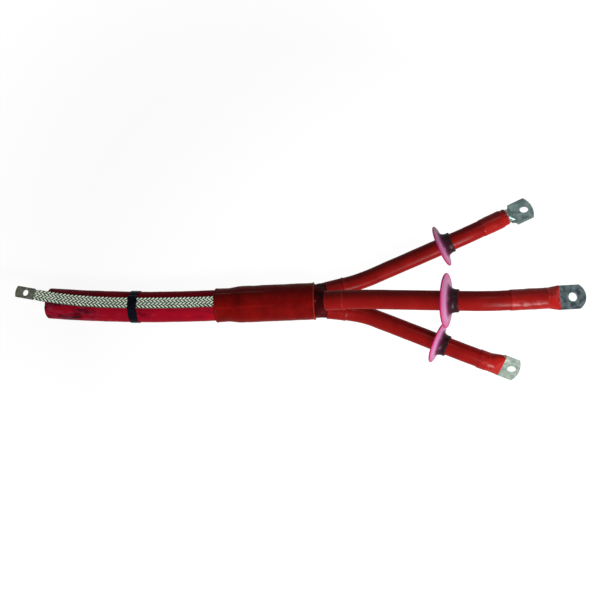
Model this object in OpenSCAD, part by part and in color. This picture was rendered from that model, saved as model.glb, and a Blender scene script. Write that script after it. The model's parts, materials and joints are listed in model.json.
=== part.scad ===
// Three core cable termination: a cable stub, a breakout boot under a jacket sleeve, three tubed cores
// with a rain shed and a bolt lug each, and a flat earth braid taped to the cable.
// Millimetres, X along the cable towards the lugs, Z up, lying on the plane Z = 0.
// Lists with three values are in the order middle core, left core, right core.

/* [Cable] */
// Diameter of each conductor
conductor_d = 16.2; // [10:0.2:24]
// Wall of the insulation on a conductor
insulation_wall = 4; // [3:0.1:8]
// Wall of the black screen layer on the insulation
screen_wall = 0.6; // [0.4:0.1:1.2]
// Wall of the copper tape lapped over the screen layer
copper_wall = 0.25; // [0.1:0.05:0.5]
// Wall of the outer sheath
sheath_wall = 3; // [2:0.1:5]
// Length of cable behind the point where the cores open out
stub_len = 500; // [420:2:900]
// Length of the straight end of that cable
straight_len = 160; // [150:2:250]
// Bend of the rest of the cable, in degrees
cable_bend = 6.5; // [0.5:0.5:15]
// Turn of the straight end against the X axis, in degrees
cable_yaw = 2.5; // [0:0.5:10]
// Distance from the end of the sheath to the point where the cores open out
sheath_setback = 58; // [50:1:80]

/* [Breakout] */
// Length over which the cores open out
spread_len = 72; // [70:1:120]
// Extra sideways opening of the cores at the fingers
foot_spread = [0, 2, 0]; // [0:0.5:8]
// Part of the opening that lifts the middle core
lift_share = 0.7; // [0.3:0.05:1]
// Length of the boot fingers
finger_len = 36; // [30:1:60]
// Wall of the boot
boot_wall = 2.9; // [2:0.1:4]
// Length of the boot skirt
skirt_len = 156; // [130:1:180]
// Length of boot that shows between the sleeve and the core tubes
neck_len = 24; // [20:1:40]
// Length of the jacket sleeve
sleeve_len = 201; // [180:1:280]
// Wall of the jacket sleeve
sleeve_wall = 2.75; // [2:0.05:4]
// Height of the rolled lip at each end of the sleeve
lip_h = 0.9; // [0.3:0.1:2]

/* [Core routes] */
// Sideways bend of the cores after the fingers, in degrees
fan_yaw = [-3.4, 9.1, -14.9]; // [-30:0.1:30]
// Upward bend of the cores after the fingers, in degrees
fan_pitch = [-2.1, 13.3, 14.3]; // [-20:0.1:25]
// Length of that bend
fan_len = [52, 56, 60]; // [40:1:160]
// Straight length that carries the shed
shed_run = [192, 178, 154]; // [60:1:240]
// Sideways bend of the cores before the lugs, in degrees
nod_yaw = [4, 2, 0.5]; // [-10:0.5:10]
// Upward bend of the cores before the lugs, in degrees
nod_pitch = [-14, -11, -11]; // [-25:0.5:10]
// Length of that bend
nod_len = [62, 51, 53]; // [40:1:120]
// Straight length that ends at the root of the lug palm
tail_run = [102, 71, 51]; // [50:1:160]

/* [Core covers] */
// Wall of the stress control tubes over the insulation
stress_wall = 2; // [1:0.1:4]
// Length of bared copper tape past the fingers
copper_run = 22; // [10:1:40]
// Length of bared screen layer past the copper tape
screen_run = 16; // [8:1:30]
// Outside diameter of the core tubes
tube_od = [38.5, 33.5, 35.5]; // [31:0.5:50]
// Growth of the tube radius over the fingers
foot_growth = 0.6; // [0.5:0.05:3]
// Length of seal sleeve behind the palm root
seal_len = [96, 67, 44]; // [40:1:120]
// End of the seal sleeve, past the palm root; behind the neck of the lug it stays round
seal_to = [0, -12, 5.5]; // [-12:0.5:8]
// Wall of the seal sleeves
seal_wall = 1.1; // [1:0.1:3]

/* [Sheds] */
// Outside diameter of the rain sheds
shed_od = [108, 86, 86]; // [70:1:160]
// Place of the shed collar along the straight length, as a share of it
shed_place = [0.874, 0.966, 0.986]; // [0.5:0.002:1]
// Wall of the shed skirt
shed_wall = 3; // [2:0.1:5]
// Wall of the shed collar
collar_wall = 3.2; // [2:0.1:5]
// Length of the shed collar up to the root of the skirt
collar_len = 15; // [9:0.5:24]
// Slope of the shed skirt away from the lug, in degrees
shed_slope = 19; // [10:1:45]
// Fillet between collar and skirt
shed_fillet = 14; // [4:0.5:14]

/* [Lugs] */
// Outside diameter of the lug barrel
barrel_od = 27.8; // [22:0.2:34]
// Length of the lug barrel
barrel_len = 46; // [36:1:70]
// Length of the flattened neck
lug_neck = 11; // [8:0.5:24]
// Width of the palm
palm_w = 46; // [34:1:60]
// Thickness of the palm
palm_t = 7; // [4:0.5:10]
// Distance of the palm below the barrel axis
palm_drop = 5; // [0:0.5:8]
// Bolt hole in the palm
bolt_hole_d = 17; // [10:0.5:21]
// Distance from the palm root to the bolt hole
bolt_from_root = 24.5; // [20:0.5:40]
// Distance from the bolt hole to the palm tip
bolt_to_tip = [24.5, 16, 15]; // [13:0.5:34]
// Radius of the rounded palm tip
tip_r = [27.6, 45, 45]; // [25:0.2:60]
// Turn of the lugs about their cores, in degrees
lug_roll = [-8, -28, 30]; // [-60:1:60]

/* [Earth lead] */
// Width of the flat braid
braid_w = 22; // [16:0.5:26]
// Thickness of the flat braid
braid_t = 2.2; // [1.6:0.1:3]
// Place of the braid around the cable, in degrees from the top
braid_angle = 15; // [0:1:30]
// Length of the braid lug
eye_len = 40; // [34:1:60]
// Width of the braid lug
eye_w = 23; // [20:0.5:30]
// Thickness of the braid lug
eye_t = 5; // [4.6:0.1:8]
// Bolt hole in the braid lug
eye_hole_d = 13; // [8:0.5:14]
// Distance from the tip of the braid lug to its bolt hole
eye_hole_at = 21.4; // [14:0.2:22]
// Width of the binding tape
tape_w = 19; // [12:0.5:30]
// Thickness of the wound binding tape
tape_t = 1.3; // [0.6:0.1:3]
// Distance of the binding tape from the cut end of the cable
tape_from_end = 172; // [120:1:260]
// Width of the clamp spring on the screens
spring_w = 20; // [12:1:24]
// Thickness of the rolled clamp spring
spring_t = 0.6; // [0.3:0.05:0.7]

/* [Hidden] */

CORES = ["middle", "left", "right"];
bend_fn = 256;
round_fn = 96;
hull_fn = 48;
wide_fn = 72;

// Clearances between layers, round the braid, between the feet, and of the bundle and its fillers
layer_gap = 0.05;
lay_gap = 0.3;
foot_gap = 0.4;
bundle_gap = 0.2;
filler_gap = 0.3;
bump_gap = 0.25;
bump_fit = 0.4;

// Bands that join the stretches of a rod
joint_gap = 0.05;
joint_grow = 0.03;
joint_len = 1;

// Overrun of a cut, discs that shape a hull, the step where a hull leaves a round part, and broken edges
cut = 1;
disc = 1;
hull_step = 0.6;
edge = 0.8;

// Small sizes of the covers
finger_share = 0.83;
stress_share = 0.65;
tube_wall = 1.5;
finger_tail = 5;
finger_in = 5;
root_in = 1.5;
root_grow = 1.2;
hollow_cone = 14.5;
hollow_gap = 0.6;
mastic_rear = 1;
spring_in = 12;
stress_in = 2;
layer_ends = [0, 0.2, 0.3, 0.4, 0.6];
barrel_gap = 3;
tube_short = 14;
foot_ramp = 3;
lip_r = 2.4;
ramp_rear = 16;
ramp_front = 6;
bore_rear = 3;
bore_front = 0.5;
ridge_grow = 1;
ridge_rear = 8;
ridge_front = 4;
pad_slope = 2;
pad_sink = 0.6;
shed_steps = 10;
shed_lag = 0.167;

// Small sizes of the lugs and of the sleeves over them
shoulder_r = 8;
neck_step = 0.15;
seal_step = 0.6;
seal_ramp = 4;
seal_grip = 1;
seal_ear = 4.5;
seal_ear_len = 2;
seal_fall = 5;
seal_swell = 1.5;
eye_grip = 9;
eye_web = 1;
eye_round = 1.2;

// Radii of the cable from the inside out
conductor_r = conductor_d / 2;
insulation_r = conductor_r + layer_gap + insulation_wall;
screen_r = insulation_r + layer_gap + screen_wall;
core_r = screen_r + layer_gap + copper_wall;
lay_y = core_r + layer_gap;
lay_r = 2 * lay_y / sqrt(3);
bundle_r = lay_r + core_r;
filler_r = bundle_r - bundle_gap;
sheath_in_r = bundle_r + bundle_gap;
cable_r = sheath_in_r + sheath_wall;
bow_r = (stub_len - straight_len) / (cable_bend * PI / 180);

// Radii of the covers
finger_r = core_r + layer_gap + boot_wall * finger_share;
stress_r = core_r + layer_gap + stress_wall * stress_share;
barrel_r = min(barrel_od / 2, stress_r - layer_gap);
skirt_in_r = cable_r + layer_gap;
skirt_r = skirt_in_r + boot_wall;
sleeve_in_r = skirt_r + layer_gap;
sleeve_r = sleeve_in_r + sleeve_wall;
sleeve_rear_r = skirt_in_r + sleeve_wall;
braid_bed_r = cable_r + lay_gap;
braid_top_r = braid_bed_r + braid_t;
bump_h = braid_top_r + bump_gap - skirt_in_r;
bump_w = braid_w + ridge_grow;

function tube_r(k) = max(tube_od[k] / 2, stress_r + tube_wall);
function foot_r(k) = max(tube_r(k) + foot_growth, finger_r + tube_wall);

// Places along the cable and the cores, measured from the point where the cores open out
sleeve_front = spread_len - neck_len;
sleeve_rear = sleeve_front - sleeve_len;
skirt_rear = sleeve_front - skirt_len;
spring_rear = -sheath_setback + spring_in;
spring_front = spring_rear + spring_w;
finger_end = spread_len + finger_len;
finger_run = finger_len + finger_tail;
copper_end = finger_end + copper_run;
screen_end = copper_end + screen_run;
tape_rear = min(tape_from_end - stub_len, -straight_len - tape_w - cut);

// Where the three cores lie in the cable and at the foot of the fingers
side_foot_r = max(foot_r(1), foot_r(2));
side_foot_y = side_foot_r + foot_gap / 2;
foot_dz = sqrt(pow(foot_r(0) + side_foot_r + foot_gap, 2) - pow(side_foot_y, 2));
extra_dz = foot_dz - lay_r - lay_r / 2;
foot_z_mid = lay_r + lift_share * extra_dz;
foot_z_side = -lay_r / 2 - (1 - lift_share) * extra_dz;

lay_at = [[0, lay_r], [lay_y, -lay_r / 2], [-lay_y, -lay_r / 2]];
foot_at = [
    [0, foot_z_mid],
    [side_foot_y + foot_spread[1], foot_z_side],
    [-side_foot_y - foot_spread[2], foot_z_side]
];

// Matrices
function turn_x(a) = [[1, 0, 0, 0], [0, cos(a), -sin(a), 0], [0, sin(a), cos(a), 0], [0, 0, 0, 1]];
function turn_z(a) = [[cos(a), -sin(a), 0, 0], [sin(a), cos(a), 0, 0], [0, 0, 1, 0], [0, 0, 0, 1]];
function shift(v) = [[1, 0, 0, v[0]], [0, 1, 0, v[1]], [0, 0, 1, v[2]], [0, 0, 0, 1]];
function on(m, v) = [for (r = [0:2]) m[r][0] * v[0] + m[r][1] * v[1] + m[r][2] * v[2] + m[r][3]];

// A stretch is [length, bend in degrees, direction of the bend: 0 to the left, 90 up]
function arc_r(st) = st[0] / (st[1] * PI / 180);
function bend(len, yaw, pitch) = [len, sqrt(yaw * yaw + pitch * pitch), atan2(pitch, yaw)];
function way(st, d) =
    st[1] == 0 ? shift([d, 0, 0]) :
    let (a = st[1] * d / st[0], r = arc_r(st))
    turn_x(st[2]) * shift([r * sin(a), r * (1 - cos(a)), 0]) * turn_z(a) * turn_x(-st[2]);

function spread(k) =
    let (d = foot_at[k] - lay_at[k])
    [spread_len, 2 * asin(norm(d) / spread_len), atan2(d[1], d[0])];
function route(k) = [
    spread(k),
    [finger_run, 0, 0],
    bend(fan_len[k], fan_yaw[k], fan_pitch[k]),
    [shed_run[k], 0, 0],
    bend(nod_len[k], nod_yaw[k], nod_pitch[k]),
    [tail_run[k], 0, 0]
];
function start_of(rt, i) = i == 0 ? 0 : start_of(rt, i - 1) + rt[i - 1][0];
function at(rt, s, i = 0) =
    i == len(rt) - 1 || s <= rt[i][0] ? way(rt[i], s) :
    way(rt[i], rt[i][0]) * at(rt, s - rt[i][0], i + 1);
function core_at(k, s) = shift([0, lay_at[k][0], lay_at[k][1]]) * at(route(k), s);
function palm_root(k) = start_of(route(k), len(route(k)));
function shed_at(k) = start_of(route(k), 3) + shed_place[k] * shed_run[k];
function tube_end(k) = palm_root(k) - lug_neck - tube_short;
function layer_end(k) = palm_root(k) - lug_neck - barrel_len - barrel_gap;

// Cable axis behind the straight end
function cable_at(s) =
    s >= -straight_len ? shift([s, 0, 0]) :
    let (a = (s + straight_len) / bow_r * 180 / PI)
    shift([-straight_len + bow_r * sin(a), bow_r * (1 - cos(a)), 0]) * turn_z(a);

// Resting height and the middle of the plan
function shed_low(k) =
    on(core_at(k, shed_at(k)), [-collar_len - shed_lag * shed_od[k], 0, -shed_od[k] / 2])[2];
axis_z = max(sleeve_r + lip_h, -min([for (k = [0:2]) shed_low(k)]));
yawed = turn_z(cable_yaw);
function palm_tip(k) = on(yawed * core_at(k, palm_root(k)), [bolt_from_root + bolt_to_tip[k], 0, 0]);
cut_end = on(yawed * cable_at(-stub_len), [0, 0, 0]);
mid_x = (palm_tip(0)[0] + cut_end[0]) / 2;
mid_y = (palm_tip(1)[1] + palm_tip(2)[1]) / 2;
placing = shift([-mid_x, -mid_y, axis_z]) * yawed;

// A round section
module dot(r) {
    circle(r = r, $fn = round_fn);
}

// A raised pad on a round section, over the braid
module pad(r_top, r_foot, w) {
    foot_x = w / 2 + pad_slope * (r_top - r_foot);
    foot_y = sqrt(r_foot * r_foot - foot_x * foot_x) - pad_sink;
    intersection() {
        rotate([0, 0, -braid_angle])
            polygon([
                [-foot_x, foot_y - w],
                [-foot_x, foot_y],
                [-w / 2, r_top],
                [w / 2, r_top],
                [foot_x, foot_y],
                [foot_x, foot_y - w]
            ]);
        dot(r_top);
    }
}

module straight(a, b) {
    translate([a, 0, 0])
        rotate([90, 0, 90])
            linear_extrude(b - a) children();
}

// A solid of revolution about the X axis from a section of radius and place
module turned() {
    rotate([0, 90, 0])
        rotate_extrude($fn = round_fn) children();
}

// The slightly crowned band that joins two stretches of a rod at X = 0
module knuckle(r) {
    turned()
        polygon([
            [0, -joint_len],
            [r - joint_grow, -joint_len],
            [r + joint_grow, 0],
            [r - joint_grow, joint_len],
            [0, joint_len]
        ]);
}

// A section drawn along the bent part of the cable from s0 to s1
module along_bow(s0, s1) {
    translate([-straight_len, bow_r, 0])
        rotate([0, 0, -90 + (s0 + straight_len) / bow_r * 180 / PI])
            rotate_extrude(angle = (s1 - s0) / bow_r * 180 / PI, $fn = bend_fn)
                translate([bow_r, 0])
                    mirror([1, 0]) children();
}

// A round rod along the cable from s0 to s1, its middle at the place p across the cable
module cable_rod(s0, s1, r, p = [0, 0]) {
    meet = -straight_len;
    whole = s0 < meet && s1 > meet;
    if (s1 > meet)
        straight(max(s0, meet + (whole ? joint_gap : 0)), s1)
            translate(p) dot(r);
    if (s0 < meet)
        along_bow(s0, min(s1, meet - (whole ? joint_gap : 0)))
            translate(p) dot(r);
    if (whole) translate([meet, p[0], p[1]]) knuckle(r);
}

// A round rod along one core from s0 to s1, past the point where the cores open out
module open_rod(k, s0, s1, r) {
    rt = route(k);
    last = len(rt) - 1;
    for (i = [0:last]) {
        from = start_of(rt, i);
        starts = s0 < from;
        ends = i < last && s1 > from + rt[i][0];
        a = starts ? joint_gap : s0 - from;
        b = ends ? rt[i][0] - joint_gap : s1 - from;
        if (b > a && a < rt[i][0])
            multmatrix(core_at(k, from)) {
                if (rt[i][1] == 0)
                    straight(a, b) dot(r);
                else
                    rotate([rt[i][2], 0, 0])
                        translate([0, arc_r(rt[i]), 0])
                            rotate([0, 0, -90 + rt[i][1] * a / rt[i][0]])
                                rotate_extrude(angle = rt[i][1] * (b - a) / rt[i][0], $fn = bend_fn)
                                    translate([arc_r(rt[i]), 0]) dot(r);
                if (starts) knuckle(r);
            }
    }
}

// A round rod along one core, from inside the cable to a place past the opening
module core_rod(k, s0, s1, r) {
    both = s0 < 0 && s1 > 0;
    if (s0 < 0) cable_rod(s0, both ? -joint_gap : s1, r, lay_at[k]);
    if (s1 > 0) open_rod(k, both ? -cut : s0, s1, r);
}

// One round layer of a core
module core_layer(k, s0, s1, r_out, r_in) {
    difference() {
        core_rod(k, s0, s1, r_out);
        core_rod(k, s0 - cut, s1 + cut, r_in);
    }
}

module on_core(k, s) {
    multmatrix(core_at(k, s)) children();
}

module cable_sheath() {
    color("#b3122a")
        difference() {
            cable_rod(-stub_len, -sheath_setback, cable_r);
            cable_rod(-stub_len - cut, -sheath_setback + cut, sheath_in_r);
        }
}

module cable_fillers() {
    color("#b9b2a2")
        difference() {
            cable_rod(-stub_len + layer_ends[4], -sheath_setback, filler_r);
            for (p = lay_at) cable_rod(-stub_len - cut, -sheath_setback + cut, core_r + filler_gap, p);
        }
}

module conductor(k) {
    color("#b5713f")
        core_rod(k, -stub_len + layer_ends[0], palm_root(k) - lug_neck - layer_gap, conductor_r);
}

module insulation(k) {
    color("#dcd7c6")
        core_layer(k, -stub_len + layer_ends[1], layer_end(k), insulation_r, conductor_r + layer_gap);
}

module screen(k) {
    color("#1b1a1c")
        core_layer(k, -stub_len + layer_ends[2], screen_end, screen_r, insulation_r + layer_gap);
}

module copper_tape(k) {
    color("#c07a4a")
        core_layer(k, -stub_len + layer_ends[3], copper_end, core_r, screen_r + layer_gap);
}

module clamp_spring() {
    bore = bundle_r + lay_gap + braid_t;
    color("#a9adb0")
        straight(spring_rear, spring_front)
            difference() {
                dot(min(bore + spring_t, skirt_in_r - layer_gap));
                dot(bore);
            }
}

// A round rod on the X axis from a to b
module rod(a, b, r, facets = round_fn) {
    translate([a, 0, 0])
        rotate([0, 90, 0]) cylinder(r = r, h = b - a, $fn = facets);
}

// The hollow of the boot around the opening cores
module boot_hollow() {
    cone = sleeve_front - hollow_cone;
    rod(mastic_rear, cone, skirt_in_r);
    hull() {
        rod(cone - disc / 2, cone + disc / 2, skirt_in_r - hull_step, hull_fn);
        for (k = [0:2])
            on_core(k, spread_len - finger_in) rod(0, disc, core_r + hollow_gap, hull_fn);
    }
}

module crotch_mastic() {
    color("#7a2420")
        difference() {
            boot_hollow();
            for (k = [0:2]) open_rod(k, 0, spread_len, core_r + layer_gap);
        }
}

// A round rod on the axis of a boot finger, from a to b past its foot
module on_finger(k, a, b, r) {
    on_core(k, spread_len) rod(a, b, r);
}

module breakout_boot() {
    color("#5a1a1c")
        difference() {
            union() {
                rod(skirt_rear, sleeve_front + disc, skirt_r);
                straight(skirt_rear, spring_front) pad(skirt_r + bump_h, skirt_r, bump_w);
                hull() {
                    rod(sleeve_front - disc / 2, sleeve_front + disc / 2, skirt_r - hull_step, wide_fn);
                    for (k = [0:2])
                        on_core(k, spread_len - root_in) rod(0, disc, finger_r + root_grow, hull_fn);
                }
                for (k = [0:2]) on_finger(k, -finger_in + cut, finger_len, finger_r);
            }
            rod(skirt_rear - cut, mastic_rear + cut, skirt_in_r);
            straight(skirt_rear - cut, spring_front + cut) pad(skirt_in_r + bump_h, skirt_in_r, bump_w);
            boot_hollow();
            for (k = [0:2]) on_finger(k, -finger_in - cut, finger_len + cut, core_r + 2 * layer_gap);
        }
}

// Half section of the jacket sleeve: radius against distance from its rear end
module sleeve_half() {
    step = skirt_rear - sleeve_rear;
    difference() {
        union() {
            polygon([
                [0, 0],
                [sleeve_rear_r, 0],
                [sleeve_rear_r, step - ramp_rear],
                [sleeve_r, step + ramp_front],
                [sleeve_r, sleeve_len],
                [0, sleeve_len]
            ]);
            translate([sleeve_rear_r - lip_r + lip_h, lip_r]) circle(r = lip_r, $fn = hull_fn);
            translate([sleeve_r - lip_r + lip_h, sleeve_len - lip_r]) circle(r = lip_r, $fn = hull_fn);
        }
        polygon([
            [0, -cut],
            [skirt_in_r, -cut],
            [skirt_in_r, step - bore_rear],
            [sleeve_in_r, step - bore_front],
            [sleeve_in_r, sleeve_len + cut],
            [0, sleeve_len + cut]
        ]);
    }
}

module jacket_sleeve() {
    step = skirt_rear - ridge_rear;
    ridge_w = bump_w + ridge_grow;
    color("#8c2a26")
        difference() {
            union() {
                translate([sleeve_rear, 0, 0]) turned() sleeve_half();
                straight(sleeve_rear, step)
                    difference() {
                        pad(sleeve_rear_r + bump_h, sleeve_rear_r, ridge_w);
                        dot(skirt_in_r);
                    }
                straight(step, spring_front + ridge_front)
                    difference() {
                        pad(sleeve_r + bump_h, sleeve_r, ridge_w);
                        dot(sleeve_in_r);
                    }
            }
            straight(sleeve_rear - cut, skirt_rear) pad(skirt_in_r + bump_h, skirt_in_r, bump_w);
            straight(skirt_rear - cut, spring_front + layer_gap)
                pad(sleeve_in_r + bump_h, sleeve_in_r, bump_w + bump_fit);
        }
}

module stress_tube(k) {
    from = finger_end + stress_in;
    to = layer_end(k);
    color("#242226")
        difference() {
            core_rod(k, from, to, stress_r);
            core_rod(k, from - cut, to + cut, insulation_r + layer_gap);
            core_rod(k, from - cut, screen_end + cut, screen_r + layer_gap);
            core_rod(k, from - cut, copper_end + cut, core_r + layer_gap);
        }
}

// Half section of the end of a core tube that covers a boot finger
module foot_half(k) {
    step = finger_len + cut;
    polygon([
        [0, 0],
        [foot_r(k) - edge, 0],
        [foot_r(k), edge],
        [foot_r(k), step],
        [tube_r(k) - hull_step, step + foot_ramp],
        [0, step + foot_ramp]
    ]);
}

module core_tube(k) {
    color("#93302b")
        difference() {
            union() {
                on_core(k, spread_len) turned() foot_half(k);
                core_rod(k, spread_len + finger_in, tube_end(k), tube_r(k));
            }
            on_finger(k, -cut, finger_len + cut, finger_r + layer_gap);
            core_rod(k, spread_len + finger_in, tube_end(k) + cut, stress_r + layer_gap);
        }
}

// Half section of a shed: radius against distance from the lug end of its collar
module shed_half(r_bore, r_rim) {
    r_col = r_bore + collar_wall;
    root = -collar_len;
    lip = shed_wall / 2;
    out = [sin(shed_slope), cos(shed_slope)];
    rim = [r_rim - lip - lip * out[0], root - (r_rim - lip - lip * out[0] - r_col) * tan(shed_slope)];
    f = [r_col + shed_fillet, root + shed_fillet * (1 - sin(shed_slope)) / cos(shed_slope)];
    back = root - shed_wall / cos(shed_slope) + (r_col - r_bore) * tan(shed_slope);
    polygon(concat(
        [[r_bore, 0], [r_col - edge, 0], [r_col, -edge]],
        [
            for (i = [0:shed_steps])
                let (a = 180 + (90 - shed_slope) * i / shed_steps)
                f + shed_fillet * [cos(a), sin(a)]
        ],
        [for (i = [0:shed_steps]) let (a = 90 - shed_slope - 180 * i / shed_steps)
            rim - lip * out + lip * [cos(a), sin(a)]],
        [[r_bore, back]]
    ));
}

module rain_shed(k) {
    color("#c46a86")
        on_core(k, shed_at(k))
            turned() shed_half(tube_r(k) + layer_gap, shed_od[k] / 2);
}

// Plate of the palm, from behind its shoulders to the tip
module palm(k) {
    length = bolt_from_root + bolt_to_tip[k];
    round_r = max(tip_r[k], palm_w / 2 + cut);
    waist_r = min(palm_w / 2 - barrel_r, shoulder_r);
    intersection() {
        linear_extrude(palm_t)
            difference() {
                translate([-waist_r, -palm_w / 2]) square([length + waist_r + cut, palm_w]);
                for (y = [-1, 1])
                    translate([-waist_r, y * palm_w / 2]) circle(r = waist_r, $fn = hull_fn);
            }
        translate([length - round_r, 0, -cut]) {
            cylinder(r = round_r, h = palm_t + 2 * cut, $fn = round_fn);
            translate([-2 * length, -palm_w, 0]) cube([2 * length, 2 * palm_w, palm_t + 2 * cut]);
        }
    }
}

// Lug without its holes, with the root of the palm at X = 0
module lug_blank(k) {
    waist = palm_w - 2 * shoulder_r;
    rod(-lug_neck - barrel_len, -lug_neck, barrel_r);
    hull() {
        rod(-lug_neck - disc / 2, -lug_neck, barrel_r - neck_step, hull_fn);
        translate([-disc / 2, -waist / 2, -palm_drop - palm_t / 2]) cube([disc, waist, palm_t]);
    }
    translate([0, 0, -palm_drop - palm_t / 2]) palm(k);
}

module on_lug(k) {
    on_core(k, palm_root(k))
        rotate([lug_roll[k], 0, 0]) children();
}

module lug(k) {
    color("#8d9290")
        on_lug(k)
            difference() {
                lug_blank(k);
                rod(-lug_neck - barrel_len - cut, -lug_neck, conductor_r + layer_gap);
                translate([bolt_from_root, 0, -palm_drop - palm_t])
                    cylinder(r = bolt_hole_d / 2, h = 2 * palm_t, $fn = round_fn);
            }
}

// Half section of a seal sleeve that ends on the round barrel
module seal_half(k) {
    from = -seal_len[k];
    step = tube_end(k) - palm_root(k);
    to = min(seal_to[k], -lug_neck - cut);
    bore = tube_r(k) + layer_gap;
    out = bore + seal_wall;
    difference() {
        polygon([
            [0, from],
            [out - edge, from],
            [out, from + seal_ramp],
            [out, step],
            [out - seal_swell, step + seal_fall],
            [barrel_r + seal_wall + seal_swell, to - seal_ear_len],
            [barrel_r + seal_wall, to],
            [0, to]
        ]);
        polygon([
            [0, from - cut],
            [bore, from - cut],
            [bore, step + layer_gap],
            [barrel_r + layer_gap, step + layer_gap],
            [barrel_r + layer_gap, to + cut],
            [0, to + cut]
        ]);
    }
}

// Seal sleeve that reaches over the neck of the lug on to the palm
module seal_over(k) {
    from = -seal_len[k];
    step = tube_end(k) - palm_root(k);
    bore = tube_r(k) + layer_gap;
    out = bore + seal_wall;
    difference() {
        union() {
            translate([from, 0, 0])
                turned()
                    polygon([
                        [0, 0],
                        [out - edge, 0],
                        [out, seal_ramp],
                        [out, step - from],
                        [0, step - from]
                    ]);
            hull() {
                rod(step - disc, step, out - seal_step, wide_fn);
                rod(-lug_neck - disc, -lug_neck, barrel_r + seal_wall, hull_fn);
                for (y = [-1, 1])
                    translate([seal_to[k], y * (palm_w / 2 - seal_ear), -palm_drop])
                        rod(-seal_ear_len, 0, palm_t / 2 + seal_wall + seal_grip, hull_fn);
            }
        }
        rod(from - cut, step + layer_gap, bore);
        lug_blank(k);
    }
}

module seal_sleeve(k) {
    color("#a0332e")
        on_lug(k)
            if (seal_to[k] > -lug_neck) seal_over(k);
            else turned() seal_half(k);
}

// Route of the braid in round numbers: place along the cable, offset to the left and up from its axis,
// tilt to the left in degrees, share of the cable's curve that it takes and share of its width
braid_route = [
    [-27, 7.65, 28.56, 15, 1, 1],
    [-48, 7.65, 28.56, 15, 1, 1],
    [-57, 8.5, 31.73, 15, 1, 1],
    [-110, 8.5, 31.73, 15, 1, 1],
    [-160, 8.5, 31.73, 15, 1, 1],
    [-200, 8.5, 31.73, 15, 1, 1],
    [-240, 8.5, 31.73, 15, 1, 1],
    [-280, 8.5, 31.73, 15, 1, 1],
    [-320, 8.5, 31.73, 15, 1, 1],
    [-350, 8.7, 31.7, 15, 1, 1],
    [-390, 9.1, 31.65, 16, 1, 1],
    [-420, 9.8, 31.5, 16, 1, 1],
    [-445, 10.8, 31.35, 17, 0.95, 1],
    [-467, 12, 31.1, 17, 0.85, 1],
    [-486, 13.3, 30.8, 16, 0.6, 1],
    [-501, 14.5, 30.3, 15, 0.3, 1],
    [-514, 15.6, 29.6, 13, 0, 0.95],
    [-523, 16.5, 28.9, 12, 0, 0.82],
    [-532, 17.4, 28.1, 12, 0, 0.82]
];
braid_side = [-1, -0.86, -0.45, 0, 0.45, 0.86, 1];
braid_full = [0.35, 1, 1, 1, 1, 1, 0.35];

function braid_ahead(i) =
    let (a = braid_route[min(i + 1, len(braid_route) - 1)], b = braid_route[max(i - 1, 0)])
    atan2(b[1] - a[1], b[0] - a[0]);
function braid_frame(i) =
    let (p = braid_route[i])
    placing * cable_at(p[0]) * shift([0, p[1], p[2]]) * turn_z(braid_ahead(i)) * turn_x(-p[3]);
function braid_point(i, j, up) =
    let (p = braid_route[i], u = braid_side[j] * braid_w / 2 * p[5])
    on(braid_frame(i), [0, u, up * braid_t / 2 * braid_full[j] - p[4] * u * u / 2 / cable_r]);
function braid_ring(i) =
    let (n = len(braid_side))
    [for (j = [0:2 * n - 1]) j < n ? braid_point(i, j, 1) : braid_point(i, 2 * n - 1 - j, -1)];

module earth_braid() {
    rings = len(braid_route);
    n = 2 * len(braid_side);
    color("#9aa09a")
        polyhedron(
            points = [for (i = [0:rings - 1]) each braid_ring(i)],
            faces = concat(
                [[for (j = [0:n - 1]) j]],
                [for (i = [0:rings - 2]) for (j = [0:n - 1])
                    [i * n + j, (i + 1) * n + j, (i + 1) * n + (j + 1) % n, i * n + (j + 1) % n]],
                [[for (j = [0:n - 1]) rings * n - 1 - j]]
            ),
            convexity = 4
        );
}

module braid_lug() {
    last = len(braid_route) - 1;
    slot_w = braid_w * braid_route[last][5] + 2 * lay_gap;
    slot_t = braid_t + 2 * lay_gap;
    tip = eye_grip - eye_len;
    round_r = eye_w * eye_round;
    lead = braid_route[last - 1] - braid_route[last];
    fall = atan2(lead[2], lead[0]);
    color("#979d99")
        multmatrix(braid_frame(last))
            rotate([0, -fall, 0])
                difference() {
                    intersection() {
                        translate([tip, -eye_w / 2, -eye_t / 2]) cube([eye_len, eye_w, eye_t]);
                        translate([tip + round_r, 0, -eye_t]) {
                            cylinder(r = round_r, h = 2 * eye_t, $fn = round_fn);
                            translate([0, -eye_w, 0]) cube([eye_len, 2 * eye_w, 2 * eye_t]);
                        }
                    }
                    translate([-eye_web, -slot_w / 2, -slot_t / 2]) cube([eye_len, slot_w, slot_t]);
                    translate([tip + eye_hole_at, 0, -eye_t])
                        cylinder(r = eye_hole_d / 2, h = 2 * eye_t, $fn = round_fn);
                }
}

module binding_tape() {
    to = tape_rear + tape_w;
    color("#17171a")
        difference() {
            union() {
                along_bow(tape_rear, to) dot(skirt_in_r + tape_t);
                along_bow(tape_rear, to)
                    pad(skirt_in_r + bump_h + tape_t, skirt_in_r + tape_t, bump_w + ridge_grow);
            }
            along_bow(tape_rear - cut, to + cut) dot(skirt_in_r);
            along_bow(tape_rear - cut, to + cut) pad(skirt_in_r + bump_h, skirt_in_r, bump_w);
        }
}

module placed() {
    multmatrix(placing) children();
}

placed() cable_sheath();
placed() cable_fillers();
placed() clamp_spring();
placed() crotch_mastic();
placed() breakout_boot();
placed() jacket_sleeve();
earth_braid();
braid_lug();
placed() binding_tape();
for (k = [0:2]) {
    placed() conductor(k);
    placed() insulation(k);
    placed() screen(k);
    placed() copper_tape(k);
    placed() stress_tube(k);
    placed() core_tube(k);
    placed() rain_shed(k);
    placed() lug(k);
    placed() seal_sleeve(k);
}
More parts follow.
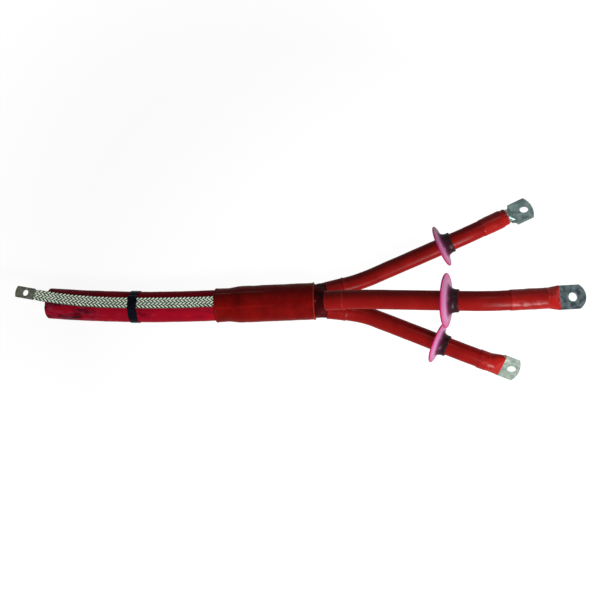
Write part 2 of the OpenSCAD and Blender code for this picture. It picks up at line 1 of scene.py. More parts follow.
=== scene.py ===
import bpy
import json
import math
import numpy as np
from mathutils import Matrix, Vector

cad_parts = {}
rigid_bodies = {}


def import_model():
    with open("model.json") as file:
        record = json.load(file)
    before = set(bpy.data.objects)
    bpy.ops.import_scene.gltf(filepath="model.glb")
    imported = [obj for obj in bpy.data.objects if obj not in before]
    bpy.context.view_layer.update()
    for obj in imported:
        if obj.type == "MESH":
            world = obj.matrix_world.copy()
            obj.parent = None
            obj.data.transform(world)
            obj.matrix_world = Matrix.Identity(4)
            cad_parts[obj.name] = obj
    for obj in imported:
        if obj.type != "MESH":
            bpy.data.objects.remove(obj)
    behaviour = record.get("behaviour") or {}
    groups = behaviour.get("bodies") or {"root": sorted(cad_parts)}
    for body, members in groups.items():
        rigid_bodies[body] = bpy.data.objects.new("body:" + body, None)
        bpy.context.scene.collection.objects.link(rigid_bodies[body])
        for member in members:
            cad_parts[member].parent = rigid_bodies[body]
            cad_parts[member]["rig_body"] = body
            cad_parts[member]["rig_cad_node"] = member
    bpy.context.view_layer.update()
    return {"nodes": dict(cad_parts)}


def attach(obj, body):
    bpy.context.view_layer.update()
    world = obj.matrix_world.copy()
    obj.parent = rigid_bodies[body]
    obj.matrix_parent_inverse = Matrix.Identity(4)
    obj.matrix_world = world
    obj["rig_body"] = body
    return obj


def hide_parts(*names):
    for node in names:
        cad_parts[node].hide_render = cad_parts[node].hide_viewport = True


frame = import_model()
nodes = frame["nodes"]
MM = 0.001
CORES = ("middle", "left", "right")

# Camera: above the termination, leaning a little towards the lugs
LENS = 54
SENSOR = 36
AIM = Vector((-0.014, -0.0216, 0.045))
LEAN = math.radians(5)
DISTANCE = 1.8
camera = bpy.data.objects.new("camera", bpy.data.cameras.new("camera"))
camera.data.lens = LENS
camera.data.sensor_width = SENSOR
back = Vector((math.sin(LEAN), 0, math.cos(LEAN)))
camera.matrix_world = Matrix.Translation(AIM + DISTANCE * back) @ Matrix.Rotation(LEAN, 4, "Y")
bpy.context.scene.collection.objects.link(camera)
bpy.context.scene.camera = camera

# Route of the flat braid from under the clamp spring to its lug, in metres:
# place, tilt in degrees, share of the cable's curve and share of the width
BRAID_WIDTH = 22 * MM
CABLE_R = 31.4843 * MM
BRAID_ROUTE = [
    ((-0.05921, -0.01944, 0.06669), 15, 1, 1),
    ((-0.08019, -0.02035, 0.06669), 15, 1, 1),
    ((-0.08922, -0.01990, 0.06986), 15, 1, 1),
    ((-0.14217, -0.02221, 0.06986), 15, 1, 1),
    ((-0.19212, -0.02439, 0.06986), 15, 1, 1),
    ((-0.23198, -0.02586, 0.06986), 15, 1, 1),
    ((-0.27186, -0.02680, 0.06986), 15, 1, 1),
    ((-0.31174, -0.02721, 0.06986), 15, 1, 1),
    ((-0.35163, -0.02709, 0.06986), 15, 1, 1),
    ((-0.38154, -0.02645, 0.06983), 15, 1, 1),
    ((-0.42139, -0.02500, 0.06978), 16, 1, 1),
    ((-0.45125, -0.02316, 0.06963), 16, 1, 1),
    ((-0.47609, -0.02098, 0.06948), 17, 0.95, 1),
    ((-0.49790, -0.01857, 0.06923), 17, 0.85, 1),
    ((-0.51671, -0.01610, 0.06893), 16, 0.6, 1),
    ((-0.53152, -0.01390, 0.06843), 15, 0.3, 1),
    ((-0.54435, -0.01187, 0.06773), 13, 0, 0.95),
    ((-0.55320, -0.01029, 0.06703), 12, 0, 0.82),
    ((-0.56205, -0.00869, 0.06623), 12, 0, 0.82),
]


def linear(code):
    """An sRGB hex colour as linear RGBA."""
    parts = [int(code[i:i + 2], 16) / 255 for i in (1, 3, 5)]
    return tuple(c / 12.92 if c <= 0.04045 else ((c + 0.055) / 1.055) ** 2.4 for c in parts) + (1,)


def add(tree, kind, inputs=None, stops=(), **settings):
    """A node of that kind with its settings and colour stops, its inputs set or linked."""
    made = tree.nodes.new(kind)
    for name, value in settings.items():
        setattr(made, name, value)
    for n, (place, code) in enumerate(stops):
        element = made.color_ramp.elements[n] if n < 2 else made.color_ramp.elements.new(place)
        element.position = place
        element.color = linear(code)
    join(tree, made, inputs or {})
    return made


def join(tree, node, inputs):
    """Sets the inputs of a node, or links them to the first output of another."""
    for name, value in inputs.items():
        if isinstance(value, bpy.types.Node):
            value = value.outputs[0]
        if isinstance(value, bpy.types.NodeSocket):
            tree.links.new(value, node.inputs[name])
        else:
            node.inputs[name].default_value = value


def material(name):
    """A named material with its node tree, shader and Object coordinates."""
    made = bpy.data.materials.new(name)
    made.use_nodes = True
    tree = made.node_tree
    place = add(tree, "ShaderNodeTexCoord").outputs["Object"]
    return made, tree, tree.nodes["Principled BSDF"], place


def per_metre(size_mm):
    """Texture scale that gives features of that size."""
    return 1 / (size_mm * MM)


# Straight end of the cable: the point where its cores open out, its direction, and the jacket over it
CABLE_POINT = Vector((-0.03191, -0.0259, 0.03813))
CABLE_WAY = Vector((math.cos(math.radians(2.5)), math.sin(math.radians(2.5)), 0))
JACKET_R = 37.23 * MM
RIDGE_REAR = -116 * MM
RIDGE_RAMP = 22 * MM
RIDGE_REAR_R = 36.98 * MM
RIDGE_FADE = -75 * MM
RIDGE_FRONT = -22 * MM
RIDGE_LEFT = 0.12

# Flare of the sheds, as shares of their reach: depth at the rim, curve, the plain slope that it replaces,
# and how far the upper rim leans back
FLARE_DEPTH = 0.24
FLARE_CURVE = 2.2
PLAIN_SLOPE = 0.3
SHED_LEAN = 0.13

# Feet of the core tubes over the boot fingers: place, direction and outer radius
FEET = {
    "middle": (Vector((0.03947, -0.02279, 0.06106)), Vector((0.97589, 0.04261, 0.21408)), 19.85 * MM),
    "left": (Vector((0.03852, -0.00227, 0.02723)), Vector((0.96478, 0.24657, -0.0917)), 17.35 * MM),
    "right": (Vector((0.04046, -0.0413, 0.02722)), Vector((0.99007, -0.10633, -0.09193)), 18.35 * MM),
}
FOOT_EDGES = ((0.6 * MM, 0.7 * MM), (35.2 * MM, 1.1 * MM))
JACKET_EDGE = (46.4 * MM, 1.3 * MM)
JACKET_EDGE_R = JACKET_R - 0.45 * MM

# Woven braid: flat strands each way round a flattened tube, two over and two under, with flat crowns.
# The grooves between a strand's wires are a cosine, with this phase at the strand's edges
STRANDS = 8
LAY_TURN = 64 * MM
BRAID_STEP = 1.2 * MM
TUBE_HALF = 0.5 * MM
EDGE_ROOM = 0.4 * MM
CRIMP = 0.34 * MM
STRAND_HALF = 1.75 * MM
STRAND_THICK = 0.26 * MM
CROWN_FLAT = 1.6
GROOVE_PHASE = 22.0
ROUTE_STEPS = 40
SMOOTH_ANGLE = math.radians(40)
STRAND_SECTION = [(-1, 0), (-0.6, 0.8), (0, 1), (0.6, 0.8), (1, 0), (0.6, -0.8), (0, -1), (-0.6, -0.8)]


def spline(values, t):
    """Catmull-Rom through the values at the place t, counted in values."""
    i = min(int(t), len(values) - 2)
    f = t - i
    a, b, c, d = (values[max(0, min(len(values) - 1, i + j))] for j in (-1, 0, 1, 2))
    square = 2 * a - 5 * b + 4 * c - d
    cube = 3 * b - a - 3 * c + d
    return 0.5 * (2 * b + (c - a) * f + square * f * f + cube * f ** 3)


def braid_stations():
    """Points along the braid about a step apart, with side, up, curve share and width share."""
    fine = []
    last = len(BRAID_ROUTE) - 1
    for n in range(last * ROUTE_STEPS + 1):
        t = n / ROUTE_STEPS
        place = Vector([spline([r[0][a] for r in BRAID_ROUTE], t) for a in range(3)])
        fine.append((place, *(spline([r[c] for r in BRAID_ROUTE], t) for c in (1, 2, 3))))
    stations, run, due = [], 0.0, 0.0
    for n, row in enumerate(fine):
        if n:
            run += (row[0] - fine[n - 1][0]).length
        if run >= due or n == len(fine) - 1:
            ahead = fine[max(n - 1, 0)][0] - fine[min(n + 1, len(fine) - 1)][0]
            tilt = math.radians(row[1])
            across = Vector((-ahead.y, ahead.x, 0)).normalized()
            side = math.cos(tilt) * across - Vector((0, 0, math.sin(tilt)))
            up = math.sin(tilt) * across + Vector((0, 0, math.cos(tilt)))
            stations.append((run, row[0], side, up, min(1, max(0, row[2])), min(1, row[3])))
            due = run + BRAID_STEP
    return stations


def flat_tube(q, half):
    """Place (across, up) and outward normal at the distance q round a flattened tube."""
    flat = half - TUBE_HALF
    turn = math.pi * TUBE_HALF
    q %= 4 * flat + 2 * turn
    if q < 2 * flat:
        return flat - q, TUBE_HALF, 0, 1
    q -= 2 * flat
    if q < turn:
        a = math.pi / 2 + q / TUBE_HALF
        return -flat + TUBE_HALF * math.cos(a), TUBE_HALF * math.sin(a), math.cos(a), math.sin(a)
    q -= turn
    if q < 2 * flat:
        return q - flat, -TUBE_HALF, 0, -1
    a = q / TUBE_HALF - 2 * flat / TUBE_HALF - math.pi / 2
    return flat + TUBE_HALF * math.cos(a), TUBE_HALF * math.sin(a), math.cos(a), math.sin(a)


def strand_point(station, share, rise):
    """A point of the braid at that share of the way round, raised off its middle surface."""
    place, side, up, curve, width = station[1:]
    half = (BRAID_WIDTH / 2 - EDGE_ROOM) * width
    v, h, nv, nh = flat_tube(share * (4 * (half - TUBE_HALF) + 2 * math.pi * TUBE_HALF), half)
    v += nv * rise
    h += nh * rise
    return place + side * v + up * (h - curve * v * v / 2 / CABLE_R)


def alone(piece):
    """Leaves only that piece selected."""
    bpy.ops.object.select_all(action="DESELECT")
    bpy.context.view_layer.objects.active = piece
    piece.select_set(True)


def woven_braid():
    """The braid, the points of its middle line and its length."""
    stations = braid_stations()
    ring = len(STRAND_SECTION)
    verts, faces, marks = [], [], []
    for way in (1, -1):
        for strand in range(STRANDS):
            first = len(verts)
            middle, outer, crown = [], [], []
            for station in stations:
                share = strand / STRANDS + way * station[0] / LAY_TURN
                over = max(-1, min(1, CROWN_FLAT * math.cos(math.pi / 2 * (2 * STRANDS * share - 0.5))))
                crown.append(way * over)
                middle.append(strand_point(station, share, way * CRIMP * over))
                outer.append(strand_point(station, share, way * CRIMP * over + MM))
            for n in range(len(stations)):
                ahead = (middle[min(n + 1, len(middle) - 1)] - middle[max(n - 1, 0)]).normalized()
                normal = (outer[n] - middle[n]).normalized()
                flat = normal.cross(ahead).normalized()
                for a, b in STRAND_SECTION:
                    verts.append(middle[n] + flat * (a * STRAND_HALF) + normal * (b * STRAND_THICK))
            for n in range(len(stations) - 1):
                base = first + n * ring
                for j in range(ring):
                    k = (j + 1) % ring
                    faces.append((base + j, base + ring + j, base + ring + k, base + k))
                    marks.append((j, crown[n], crown[n + 1]))
            faces.append(tuple(first + j for j in range(ring)))
            faces.append(tuple(len(verts) - 1 - j for j in range(ring)))
            marks += [None, None]
    mesh = bpy.data.meshes.new("woven_braid")
    mesh.from_pydata(verts, [], faces)
    layer = mesh.uv_layers.new(name="strand")
    for face, mark in zip(mesh.polygons, marks):
        if mark:
            j, near, far = mark
            a, b = STRAND_SECTION[j][0], STRAND_SECTION[(j + 1) % ring][0]
            for loop, uv in zip(face.loop_indices, ((a, near), (a, far), (b, far), (b, near))):
                layer.data[loop].uv = uv
    made = bpy.data.objects.new("woven_braid", mesh)
    bpy.context.scene.collection.objects.link(made)
    alone(made)
    bpy.ops.object.mode_set(mode="EDIT")
    bpy.ops.mesh.select_all(action="SELECT")
    bpy.ops.mesh.normals_make_consistent(inside=False)
    bpy.ops.object.mode_set(mode="OBJECT")
    bpy.ops.object.shade_smooth_by_angle(angle=SMOOTH_ANGLE)
    return made, [s[1] for s in stations], stations[-1][0]


braid, braid_path, braid_length = woven_braid()
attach(braid, "root")
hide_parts("earth_braid")


def merged_copy(node, name):
    """A copy of a CAD node with its loose triangles merged, ready to be worked."""
    piece = nodes[node].copy()
    piece.data = nodes[node].data.copy()
    piece.name = piece.data.name = name
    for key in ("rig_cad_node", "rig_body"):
        del piece[key]
    piece.parent = None
    bpy.context.scene.collection.objects.link(piece)
    alone(piece)
    bpy.ops.object.mode_set(mode="EDIT")
    bpy.ops.mesh.select_all(action="SELECT")
    bpy.ops.mesh.remove_doubles(threshold=0.001 * MM)
    bpy.ops.object.mode_set(mode="OBJECT")
    return piece


def apply_all(piece):
    """Applies the modifiers of the selected piece."""
    for modifier in list(piece.modifiers):
        bpy.ops.object.modifier_apply(modifier=modifier.name)


def eased_share(value, start, end):
    """0 before the start, 1 past the end and a smooth rise between them."""
    share = min(1, max(0, (value - start) / (end - start)))
    return share * share * (3 - 2 * share)


def fade_ridge(piece):
    """Eases the step in the ridge over the braid, and lowers its front end into the round jacket."""
    for vertex in piece.data.vertices:
        off = vertex.co - CABLE_POINT
        along = off.dot(CABLE_WAY)
        away = off - along * CABLE_WAY
        reach = away.length
        if RIDGE_REAR - MM < along < RIDGE_REAR + RIDGE_RAMP and reach > RIDGE_REAR_R:
            fall = (reach - RIDGE_REAR_R) * (1 - eased_share(along, RIDGE_REAR, RIDGE_REAR + RIDGE_RAMP))
            vertex.co -= away * (fall / reach)
        elif RIDGE_FADE < along < RIDGE_FRONT + 2 * MM and reach > JACKET_R:
            fall = (reach - JACKET_R) * (1 - RIDGE_LEFT) * eased_share(along, RIDGE_FADE, RIDGE_FRONT)
            vertex.co -= away * (fall / reach)


def shed_axis(node):
    """Middle, axis towards the lug, and inner and outer radius of a shed."""
    points = np.array([v.co for v in nodes[node].data.vertices])
    middle = points.mean(axis=0)
    axis = np.linalg.eigh(np.cov((points - middle).T))[1][:, 0]
    axis = axis * np.sign(axis[0])
    reach = np.linalg.norm(np.cross(points - middle, axis), axis=1)
    return Vector(middle), Vector(axis), float(reach.min()), float(reach.max())


def flare(piece):
    """Curves a shed like a trumpet, steep by its collar and square at its rim, and leans it back."""
    middle, axis, bore, rim = shed_axis(piece.name.removeprefix("soft_"))
    up = Vector((0, 0, 1)) - axis.z * axis
    for vertex in piece.data.vertices:
        off = vertex.co - middle
        share = min(1, max(0, (off.cross(axis).length - bore) / (rim - bore)))
        back = FLARE_DEPTH * (1 - (1 - share) ** FLARE_CURVE) - PLAIN_SLOPE * share
        vertex.co -= axis * (back * (rim - bore) + SHED_LEAN * share * off.dot(up))


# Soft covers: skins over the solids, with eased edges and the slight waves of shrunk or moulded plastic,
# mostly inwards from the solid's surface, and thinned to a share of their triangles
WAVE_LEVEL = 0.75
SKIN_KEPT = 0.6


def soft(node, voxel, waves, wave_size, rounds, shape=None):
    """A skin over a node: size of its grid, height and size of its waves, rounds of smoothing, own shape."""
    piece = merged_copy(node, "soft_" + node)
    piece.modifiers.new("skin", "REMESH").voxel_size = voxel
    apply_all(piece)
    if shape:
        shape(piece)
    even = piece.modifiers.new("even", "SMOOTH")
    even.factor = 0.5
    even.iterations = rounds
    clouds = bpy.data.textures.new(node, "CLOUDS")
    clouds.noise_scale = wave_size
    clouds.noise_depth = 1
    wave = piece.modifiers.new("waves", "DISPLACE")
    wave.texture = clouds
    wave.texture_coords = "LOCAL"
    wave.strength = waves
    wave.mid_level = WAVE_LEVEL
    piece.modifiers.new("thin", "DECIMATE").ratio = SKIN_KEPT
    apply_all(piece)
    bpy.ops.object.shade_smooth()
    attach(piece, "root")
    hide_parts(node)
    return piece


pieces = {}
for core in CORES:
    pieces[core + "_core_tube"] = soft(core + "_core_tube", 1.35 * MM, 0.5 * MM, 30 * MM, 1)
    pieces[core + "_seal_sleeve"] = soft(core + "_seal_sleeve", 0.65 * MM, 1.3 * MM, 15 * MM, 5)
    pieces[core + "_rain_shed"] = soft(core + "_rain_shed", 0.9 * MM, 0.5 * MM, 30 * MM, 3, flare)
pieces["jacket_sleeve"] = soft("jacket_sleeve", 1.15 * MM, 1.0 * MM, 17 * MM, 2, fade_ridge)
pieces["breakout_boot"] = soft("breakout_boot", 1.4 * MM, 1.4 * MM, 9 * MM, 3)
pieces["cable_sheath"] = soft("cable_sheath", 1.9 * MM, 0.9 * MM, 34 * MM, 2)
pieces["binding_tape"] = soft("binding_tape", 0.65 * MM, 0.4 * MM, 7 * MM, 2)


# Rolled edges of the shrunk covers: the two ends of each tube's foot and the front of the jacket
def rolled_edge(name, place, way, radius, thickness):
    bpy.ops.object.select_all(action="DESELECT")
    bpy.ops.mesh.primitive_torus_add(major_radius=radius, minor_radius=thickness,
                                     major_segments=120, minor_segments=12)
    piece = bpy.context.object
    piece.name = piece.data.name = name
    piece.data.transform(Matrix.Translation(place) @ way.to_track_quat("Z", "Y").to_matrix().to_4x4())
    bpy.ops.object.shade_smooth()
    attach(piece, "root")
    pieces[name] = piece


for core in CORES:
    place, way, radius = FEET[core]
    for end, (along, thickness) in zip(("rear", "front"), FOOT_EDGES):
        rolled_edge(core + "_foot_" + end + "_edge", place + along * way, way, radius, thickness)
along, thickness = JACKET_EDGE
rolled_edge("jacket_front_edge", CABLE_POINT + along * CABLE_WAY, CABLE_WAY, JACKET_EDGE_R, thickness)


# Pressed lugs with eased edges: flat faces are joined first, edges past the bevel angle are rounded,
# and only the facets of round parts are smoothed
FLAT_ANGLE = math.radians(1)
BEVEL_ANGLE = math.radians(50)
FACET_ANGLE = math.radians(20)


def eased(node, width):
    piece = merged_copy(node, "eased_" + node)
    bpy.ops.object.mode_set(mode="EDIT")
    bpy.ops.mesh.dissolve_limited(angle_limit=FLAT_ANGLE)
    bpy.ops.object.mode_set(mode="OBJECT")
    round_over = piece.modifiers.new("edges", "BEVEL")
    round_over.limit_method = "ANGLE"
    round_over.angle_limit = BEVEL_ANGLE
    round_over.width = width
    round_over.segments = 2
    apply_all(piece)
    bpy.ops.object.shade_smooth_by_angle(angle=FACET_ANGLE)
    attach(piece, "root")
    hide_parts(node)
    return piece


for core in CORES:
    pieces[core + "_lug"] = eased(core + "_lug", 0.5 * MM)


# Cross-linked polyolefin, extruded and shrunk on: deep brick red with a faint drawn mottle and a low gloss
def shrunk_polyolefin(name, dark, base, light, roughness, gloss):
    made, tree, shader, place = material(name)
    mottle = add(tree, "ShaderNodeTexNoise", {"Vector": place, "Scale": per_metre(24), "Detail": 5})
    shade = add(tree, "ShaderNodeValToRGB", {"Fac": mottle}, [(0.3, dark), (0.7, light), (0.5, base)])
    grain = add(tree, "ShaderNodeTexNoise", {"Vector": place, "Scale": per_metre(2.2), "Detail": 3})
    bump = add(tree, "ShaderNodeBump", {"Height": grain, "Strength": 0.1, "Distance": 0.3 * MM})
    rough = add(tree, "ShaderNodeMapRange", {"Value": mottle, "To Min": roughness + 0.06,
                                             "To Max": roughness + 0.2})
    join(tree, shader, {"Base Color": shade, "Normal": bump, "Roughness": rough, "Specular IOR Level": 0.01,
                        "Coat Weight": gloss, "Coat Roughness": roughness, "Coat Normal": bump})
    return made


tube_red = shrunk_polyolefin("shrunk polyolefin tube", "#8c100e", "#981412", "#a21816", 0.28, 0.14)
jacket_red = shrunk_polyolefin("shrunk polyolefin jacket", "#720706", "#820907", "#8e0e0b", 0.32, 0.1)
# The boot's near-black maroon is painted shade, standing for the shade of the neck between the jacket and the
# tube feet
boot_red_with_painted_shade = shrunk_polyolefin("moulded polyolefin boot", "#200405", "#3e0709", "#600b0d", 0.3, 0.03)
seal_red = shrunk_polyolefin("adhesive lined shrink sleeve", "#9a0f0b", "#a6130f", "#b01814", 0.28, 0.26)
# The rolled edges are a lighter red than the tubes as a painted highlight along each edge
edge_red_with_painted_highlight = shrunk_polyolefin("rolled edge of shrunk polyolefin", "#9c1812", "#ac2018", "#ba2a20", 0.24, 0.2)


# Moulded polyolefin shed: glossy and pink, with painted shade in dark maroon by the collar, a painted lilac
# sheen part way out, and a crimson rim edge as painted shade
def shed_with_painted_shade_and_sheen(node):
    made, tree, shader, place = material("moulded polyolefin of the " + node)
    middle, axis, bore, rim = shed_axis(node)
    out = add(tree, "ShaderNodeVectorMath", {0: place, 1: middle}, operation="SUBTRACT")
    turn = add(tree, "ShaderNodeVectorMath", {0: out, 1: axis}, operation="CROSS_PRODUCT")
    radius = add(tree, "ShaderNodeVectorMath", {0: turn}, operation="LENGTH").outputs["Value"]
    share = add(tree, "ShaderNodeMapRange", {"Value": radius, "From Min": bore, "From Max": rim})
    cloud = add(tree, "ShaderNodeTexNoise", {"Vector": place, "Scale": per_metre(18), "Detail": 4})
    stir = add(tree, "ShaderNodeMapRange", {"Value": cloud, "To Min": -0.04, "To Max": 0.04})
    shade_and_sheen_reach = add(tree, "ShaderNodeMath", {0: share, 1: stir}, operation="ADD")
    # The colour ramp paints light: dark maroon by the collar as painted shade, lilac part way out as painted
    # sheen, and crimson at the rim as painted shade of its edge
    shade = add(tree, "ShaderNodeValToRGB", {"Fac": shade_and_sheen_reach}, [
        (0.16, "#2c0c16"), (0.98, "#b4185a"), (0.26, "#4a1630"), (0.36, "#944272"), (0.5, "#ca8cb6"),
        (0.72, "#cc76a8"), (0.9, "#d0548e")])
    bump = add(tree, "ShaderNodeBump", {"Height": cloud, "Strength": 0.1, "Distance": 0.4 * MM})
    join(tree, shader, {"Base Color": shade, "Normal": bump, "Roughness": 0.4, "Specular IOR Level": 0.02,
                        "Coat Weight": 0.16, "Coat Roughness": 0.3})
    return made


# Extruded PVC sheath: crimson and matt, with dark scuffs and pale dust that gather towards the cut end
def extruded_pvc():
    made, tree, shader, place = material("extruded red PVC")
    drawn = add(tree, "ShaderNodeMapping", {"Vector": place, "Scale": (0.4, 1, 1)})
    along = add(tree, "ShaderNodeSeparateXYZ", {"Vector": place}).outputs["X"]
    worn = add(tree, "ShaderNodeMapRange", {"Value": along, "From Min": -0.25, "From Max": -0.5,
                                            "To Min": -0.06, "To Max": 0.085})
    scuff = add(tree, "ShaderNodeTexNoise", {"Vector": drawn, "Scale": per_metre(18), "Detail": 7,
                                             "Roughness": 0.68})
    dark = add(tree, "ShaderNodeMath", {0: scuff, 1: worn}, operation="SUBTRACT")
    base = add(tree, "ShaderNodeValToRGB", {"Fac": dark}, [
        (0.32, "#38040f"), (0.74, "#c01020"), (0.44, "#a20d28")])
    dust = add(tree, "ShaderNodeTexNoise", {"Vector": drawn, "Scale": per_metre(11), "Detail": 8,
                                            "Roughness": 0.72})
    shown = add(tree, "ShaderNodeMath", {0: dust, 1: worn}, operation="ADD")
    pale = add(tree, "ShaderNodeMapRange", {"Value": shown, "From Min": 0.56, "From Max": 0.78,
                                            "To Max": 0.55})
    mixed = add(tree, "ShaderNodeMix", {0: pale, 6: base, 7: linear("#a8506e")}, data_type="RGBA")
    bump = add(tree, "ShaderNodeBump", {"Height": scuff, "Strength": 0.3, "Distance": 0.6 * MM})
    join(tree, shader, {"Base Color": mixed.outputs[2], "Normal": bump, "Roughness": 0.5,
                        "Specular IOR Level": 0.01, "Coat Weight": 0.06, "Coat Roughness": 0.4,
                        "Coat Normal": bump})
    return made


# Tinned copper, pressed and dipped: grey green satin metal, clouded, with fine handling scratches
def tinned_copper(name, dark, light, roughness, scratches=0.25):
    made, tree, shader, place = material(name)
    cloud = add(tree, "ShaderNodeTexNoise", {"Vector": place, "Scale": per_metre(9), "Detail": 6})
    shade = add(tree, "ShaderNodeValToRGB", {"Fac": cloud}, [(0.32, dark), (0.7, light)])
    rough = add(tree, "ShaderNodeMapRange", {"Value": cloud, "To Min": roughness - 0.05,
                                             "To Max": roughness + 0.06})
    lines = add(tree, "ShaderNodeMapping", {"Vector": place, "Rotation": (0.3, 0.2, 0.5),
                                            "Scale": (0.08, 1, 1)})
    scratch = add(tree, "ShaderNodeTexNoise", {"Vector": lines, "Scale": per_metre(1.2), "Detail": 2})
    bump = add(tree, "ShaderNodeBump", {"Height": scratch, "Strength": scratches, "Distance": 0.15 * MM})
    join(tree, shader, {"Base Color": shade, "Normal": bump, "Roughness": rough, "Metallic": 1})
    return made


# Woven tinned copper: each strand a bundle of fine wires, lightest along its crown as a painted highlight,
# and darker at its edges and where it dives under as painted shade, with some dull oxide in the gaps
def woven_tin():
    made, tree, shader, place = material("woven tinned copper")
    strand = add(tree, "ShaderNodeUVMap", uv_map="strand")
    parts = add(tree, "ShaderNodeSeparateXYZ", {"Vector": strand})
    across, crown = parts.outputs["X"], parts.outputs["Y"]
    wires = add(tree, "ShaderNodeMath", {0: across, 1: GROOVE_PHASE}, operation="MULTIPLY")
    groove = add(tree, "ShaderNodeMath", {0: wires}, operation="COSINE")
    bump = add(tree, "ShaderNodeBump", {"Height": groove, "Strength": 0.5, "Distance": 0.12 * MM})
    edge = add(tree, "ShaderNodeMath", {0: across}, operation="ABSOLUTE")
    # Darker where the strand dives under the crossing strands and towards its edges, as painted shade
    dive_shade = add(tree, "ShaderNodeMapRange", {"Value": crown, "From Min": 1, "From Max": -1, "To Max": 0.6})
    edge_and_dive_shade = add(tree, "ShaderNodeMath", {0: edge, 1: 0.5, 2: dive_shade}, operation="MULTIPLY_ADD")
    cloud = add(tree, "ShaderNodeTexNoise", {"Vector": place, "Scale": per_metre(12), "Detail": 4})
    stir = add(tree, "ShaderNodeMapRange", {"Value": cloud, "To Min": -0.15, "To Max": 0.15})
    worn = add(tree, "ShaderNodeMath", {0: edge_and_dive_shade, 1: stir}, operation="ADD")
    shade = add(tree, "ShaderNodeValToRGB", {"Fac": worn}, [
        (0.1, "#d3dfcb"), (0.66, "#2a2e2a"), (0.34, "#778274")])
    join(tree, shader, {"Base Color": shade, "Normal": bump, "Roughness": 0.42, "Metallic": 1})
    return made


# Stranded copper: round wires laid together, seen as bright discs at the cut
def stranded_copper():
    made, tree, shader, place = material("stranded copper")
    rods = add(tree, "ShaderNodeMapping", {"Vector": place, "Scale": (0.01, 1, 1)})
    wire = add(tree, "ShaderNodeTexVoronoi", {"Vector": rods, "Scale": per_metre(2.6), "Randomness": 0.35})
    shade = add(tree, "ShaderNodeValToRGB", {"Fac": wire}, [(0.3, "#c98a5c"), (0.62, "#3e2012")])
    bump = add(tree, "ShaderNodeBump", {"Height": wire, "Strength": 0.6, "Distance": 0.6 * MM}, invert=True)
    join(tree, shader, {"Base Color": shade, "Normal": bump, "Roughness": 0.36, "Metallic": 1})
    return made


# Hidden layers and small pieces: a clouded colour with a slight grain of its own size
def clouded(name, dark, light, roughness, size_mm, metallic=0, gloss=0.5):
    made, tree, shader, place = material(name)
    cloud = add(tree, "ShaderNodeTexNoise", {"Vector": place, "Scale": per_metre(size_mm), "Detail": 5})
    shade = add(tree, "ShaderNodeValToRGB", {"Fac": cloud}, [(0.3, dark), (0.7, light)])
    bump = add(tree, "ShaderNodeBump", {"Height": cloud, "Strength": 0.2, "Distance": 0.2 * MM})
    join(tree, shader, {"Base Color": shade, "Normal": bump, "Roughness": roughness, "Metallic": metallic,
                        "Specular IOR Level": gloss})
    return made


# One tin in three tones for the lugs: darker on the middle lug as painted shade and paler on the right lug as
# a painted reflection of the lamps
lug_tin_with_painted_light = {
    "middle": tinned_copper("scratched tin on the middle lug", "#333d42", "#6c7a7c", 0.34),
    "left": tinned_copper("clouded tin on the left lug", "#425256", "#7a8d88", 0.32),
    "right": tinned_copper("bright tin on the right lug", "#83928a", "#aebcae", 0.16, 0.05),
}
copper = stranded_copper()
xlpe = clouded("natural XLPE", "#cfc8b4", "#e2dccb", 0.4, 12)
semicon = clouded("black semiconductive layer", "#131214", "#201f22", 0.5, 4)
copper_tape = clouded("lapped copper tape", "#9a5630", "#c98454", 0.3, 5, 1)
stress_black = clouded("black stress control tube", "#19181b", "#29272b", 0.45, 8)
finishes = {
    "cable_sheath": extruded_pvc(),
    "cable_fillers": clouded("twisted filler yarn", "#8f8878", "#bdb6a4", 0.85, 2),
    "clamp_spring": clouded("rolled spring steel", "#8c9092", "#b4b8ba", 0.3, 6, 1),
    "crotch_mastic": clouded("sealing mastic", "#5a1614", "#7a2420", 0.6, 6),
    "jacket_sleeve": jacket_red,
    "breakout_boot": boot_red_with_painted_shade,
    "jacket_front_edge": edge_red_with_painted_highlight,
    "braid_lug": tinned_copper("tinned copper braid lug", "#363831", "#6e7064", 0.36),
    "binding_tape": clouded("black PVC tape", "#090b11", "#141721", 0.42, 8, gloss=0.02),
}
for core in CORES:
    finishes[core + "_conductor"] = copper
    finishes[core + "_insulation"] = xlpe
    finishes[core + "_screen"] = semicon
    finishes[core + "_copper_tape"] = copper_tape
    finishes[core + "_stress_tube"] = stress_black
    finishes[core + "_lug"] = lug_tin_with_painted_light[core]
    finishes[core + "_rain_shed"] = shed_with_painted_shade_and_sheen(core + "_rain_shed")
    finishes[core + "_core_tube"] = tube_red
    finishes[core + "_seal_sleeve"] = seal_red
    finishes[core + "_foot_rear_edge"] = edge_red_with_painted_highlight
    finishes[core + "_foot_front_edge"] = edge_red_with_painted_highlight
for name, finish in finishes.items():
    piece = pieces[name] if name in pieces else nodes[name]
    piece.data.materials.clear()
    piece.data.materials.append(finish)
braid.data.materials.append(woven_tin())


def seen_directly(tree):
    """1 for rays that show the background to the eye, in metal or through glass."""
    rays = add(tree, "ShaderNodeLightPath")
    eye, metal, glass = (rays.outputs["Is " + kind + " Ray"] for kind in ("Camera", "Glossy", "Transmission"))
    sight = add(tree, "ShaderNodeMath", {0: eye, 1: metal}, operation="MAXIMUM")
    return add(tree, "ShaderNodeMath", {0: sight, 1: glass}, operation="MAXIMUM")


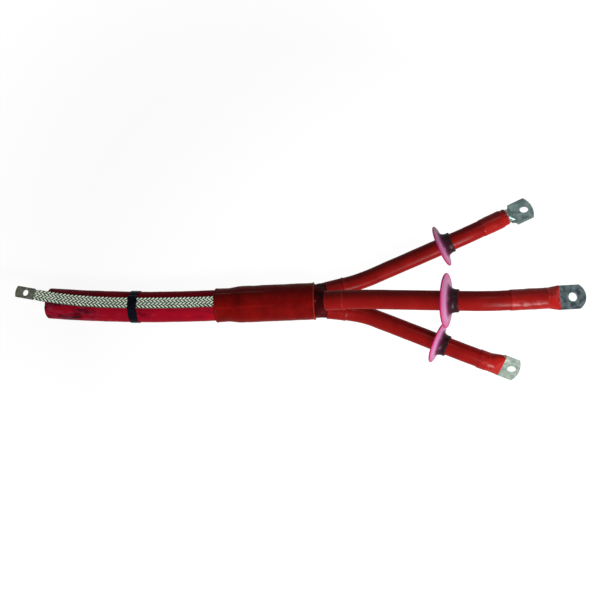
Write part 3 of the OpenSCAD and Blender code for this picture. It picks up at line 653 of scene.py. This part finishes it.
# White paper floor: white to the eye with a faint shadow, and a dull grey to the light that falls on it.
# Within the near distance in metres it glows less, so that the shadow shows, and past the far one it is white
FLOOR_SIZE = 40
FLOOR_NEAR = 0.5
FLOOR_FAR = 1.3
FLOOR_GLOW = 0.8
bpy.ops.object.select_all(action="DESELECT")
bpy.ops.mesh.primitive_plane_add(size=FLOOR_SIZE)
floor = bpy.context.object
floor.name = "floor"
paper = bpy.data.materials.new("white paper")
paper.use_nodes = True
tree = paper.node_tree
tree.nodes.clear()
dull = add(tree, "ShaderNodeBsdfDiffuse", {"Color": linear("#3c3c3c")})
spot = add(tree, "ShaderNodeTexCoord").outputs["Object"]
away = add(tree, "ShaderNodeVectorMath", {0: spot}, operation="LENGTH").outputs["Value"]
level = add(tree, "ShaderNodeMapRange", {"Value": away, "From Min": FLOOR_NEAR, "From Max": FLOOR_FAR,
                                         "To Min": FLOOR_GLOW, "To Max": 1.0})
lit = add(tree, "ShaderNodeEmission", {"Strength": level})
shadow = add(tree, "ShaderNodeBsdfDiffuse", {"Color": linear("#a8a8a8")})
white = add(tree, "ShaderNodeAddShader", {0: lit, 1: shadow})
both = add(tree, "ShaderNodeMixShader", {0: seen_directly(tree), 1: dull, 2: white})
add(tree, "ShaderNodeOutputMaterial", {"Surface": both})
floor.data.materials.append(paper)

# White room: white to the eye, dim as a light
ROOM_LIGHT = 0.04
world = bpy.data.worlds.new("studio")
bpy.context.scene.world = world
world.use_nodes = True
tree = world.node_tree
level = add(tree, "ShaderNodeMapRange", {"Value": seen_directly(tree), "To Min": ROOM_LIGHT, "To Max": 1.0})
join(tree, tree.nodes["Background"], {"Color": (1, 1, 1, 1), "Strength": level})


def lamp(name, way, size, power, shadow=True):
    """A soft area lamp that looks at the middle of the part from that direction, in metres."""
    made = bpy.data.objects.new(name, bpy.data.lights.new(name, "AREA"))
    made.data.shape = "RECTANGLE"
    made.data.size, made.data.size_y = size
    made.data.energy = power
    made.data.use_shadow = shadow
    way = Vector(way)
    made.matrix_world = Matrix.Translation(AIM + way) @ way.to_track_quat("Z", "Y").to_matrix().to_4x4()
    bpy.context.scene.collection.objects.link(made)


lamp("high_softbox", (0.63, -0.87, 1.4), (0.5, 0.5), 5)
lamp("low_softbox", (0.81, -1.4, 0.77), (0.4, 0.4), 16, shadow=False)
lamp("near_spot", (0.76, -1.22, 1.08), (0.1, 0.1), 9, shadow=False)
lamp("far_spot", (0.36, 1.05, 1.4), (0.06, 0.06), 2, shadow=False)
lamp("end_softbox", (1.7, 0.15, 0.25), (0.3, 0.3), 8)

bpy.context.scene.view_settings.view_transform = "Standard"
